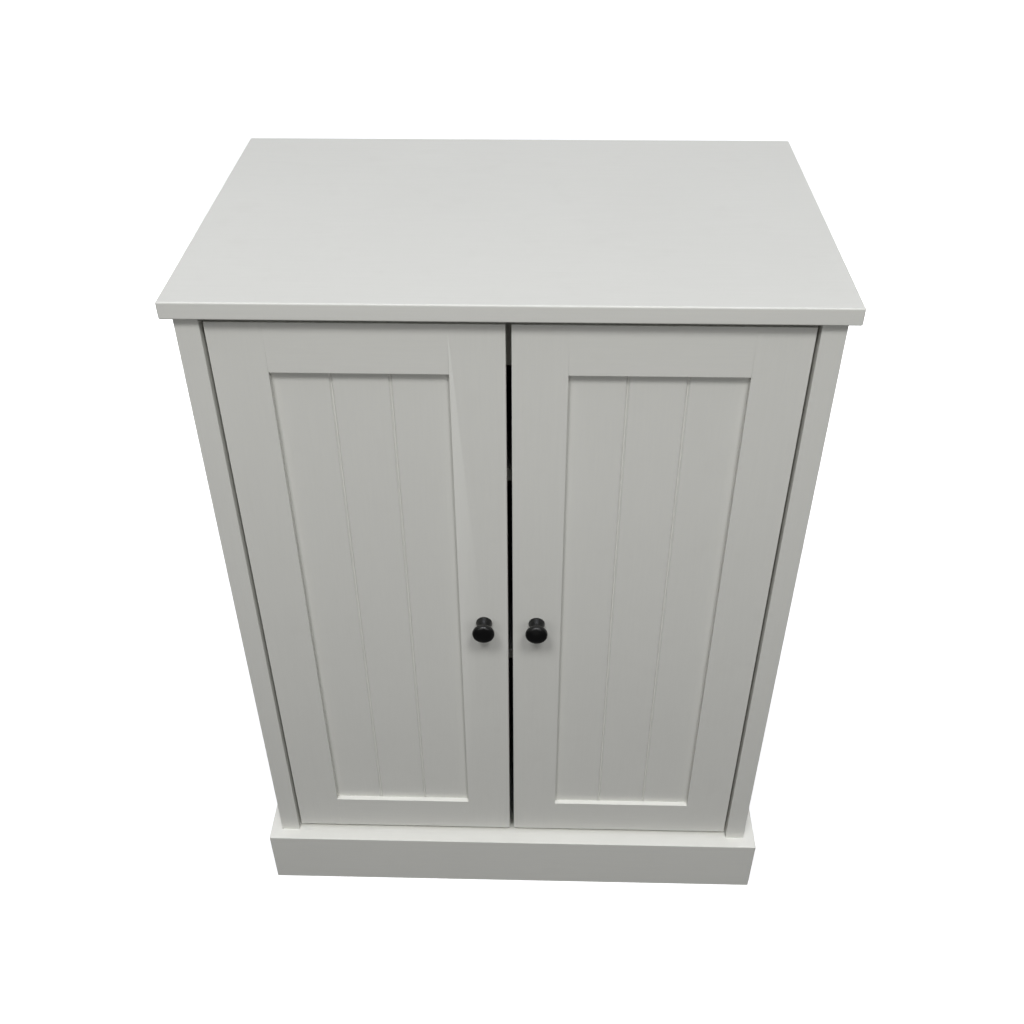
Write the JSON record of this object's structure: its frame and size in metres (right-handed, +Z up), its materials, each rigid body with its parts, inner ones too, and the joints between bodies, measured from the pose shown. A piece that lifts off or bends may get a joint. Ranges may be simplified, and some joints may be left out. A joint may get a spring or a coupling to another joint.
{
  "type": "storage cupboard",
  "caption": "Low storage cupboard with an overhanging top, a projecting plinth, a pair of inset doors with grooved panels, black knobs, concealed hinges, magnetic catches and inner shelves.",
  "frame": {"origin": "on the floor, at the middle of the whole cupboard's bounding box in X and Y, knobs included", "axes": "+Z up, the doors face -Y, +X to the right of someone facing the doors"},
  "size_m": [0.65, 0.43, 0.88],
  "materials": {
    "painted_board": "satin off-white paint film on board",
    "raw_board": "plain white-faced chipboard, cut edges bare",
    "hardboard": "raw brown hardboard",
    "pine": "unfinished softwood",
    "nickel_plate": "nickel-plated steel, satin",
    "zinc_plate": "zinc-plated steel",
    "black_metal": "black, slightly glossy",
    "catch_plastic": "white moulded plastic",
    "ferrite": "dark grey ferrite"
  },
  "bodies": {
    "cabinet": {"top_panel": "painted_board", "left_side_panel": "painted_board", "right_side_panel": "painted_board", "left_front_stile": "painted_board", "right_front_stile": "painted_board", "bottom_panel": "painted_board", "back_panel": "hardboard", "upper_shelf": "painted_board", "lower_shelf": "painted_board", "top_front_rail": "painted_board", "top_back_rail": "painted_board", "back_foot_rail": "raw_board", "plinth_front": "painted_board", "plinth_left": "painted_board", "plinth_right": "painted_board", "plinth_corner_blocks": "pine", "plinth_screws": "zinc_plate", "upper_shelf_pins": "nickel_plate", "lower_shelf_pins": "nickel_plate", "cam_bolts": "zinc_plate", "cam_locks": "zinc_plate", "wood_dowels": "pine", "back_panel_nails": "zinc_plate", "catch_bodies": "catch_plastic", "catch_magnets": "ferrite", "catch_screws": "zinc_plate", "left_hinge_plates": "nickel_plate", "left_hinge_plate_screws": "zinc_plate", "left_hinge_arms": "nickel_plate", "left_hinge_arm_screws": "zinc_plate", "right_hinge_plates": "nickel_plate", "right_hinge_plate_screws": "zinc_plate", "right_hinge_arms": "nickel_plate", "right_hinge_arm_screws": "zinc_plate"},
    "left_door": {"left_door_hinge_stile": "painted_board", "left_door_knob_stile": "painted_board", "left_door_top_rail": "painted_board", "left_door_bottom_rail": "painted_board", "left_door_panel": "painted_board", "left_knob": "black_metal", "left_knob_screw": "zinc_plate", "left_hinge_cups": "nickel_plate", "left_hinge_pins": "zinc_plate", "left_cup_screws": "zinc_plate", "left_strike_plate": "nickel_plate", "left_strike_screw": "zinc_plate"},
    "right_door": {"right_door_hinge_stile": "painted_board", "right_door_knob_stile": "painted_board", "right_door_top_rail": "painted_board", "right_door_bottom_rail": "painted_board", "right_door_panel": "painted_board", "right_knob": "black_metal", "right_knob_screw": "zinc_plate", "right_hinge_cups": "nickel_plate", "right_hinge_pins": "zinc_plate", "right_cup_screws": "zinc_plate", "right_strike_plate": "nickel_plate", "right_strike_screw": "zinc_plate"}
  },
  "joints": [
    {"name": "left_door_swing", "type": "hinge", "parent": "cabinet", "child": "left_door", "pos_m": [-0.2704, -0.184, 0.475], "axis": [0, 0, -1], "range_deg": [0, 100]},
    {"name": "right_door_swing", "type": "hinge", "parent": "cabinet", "child": "right_door", "pos_m": [0.2704, -0.184, 0.475], "axis": [0, 0, 1], "range_deg": [0, 100]}
  ]
}
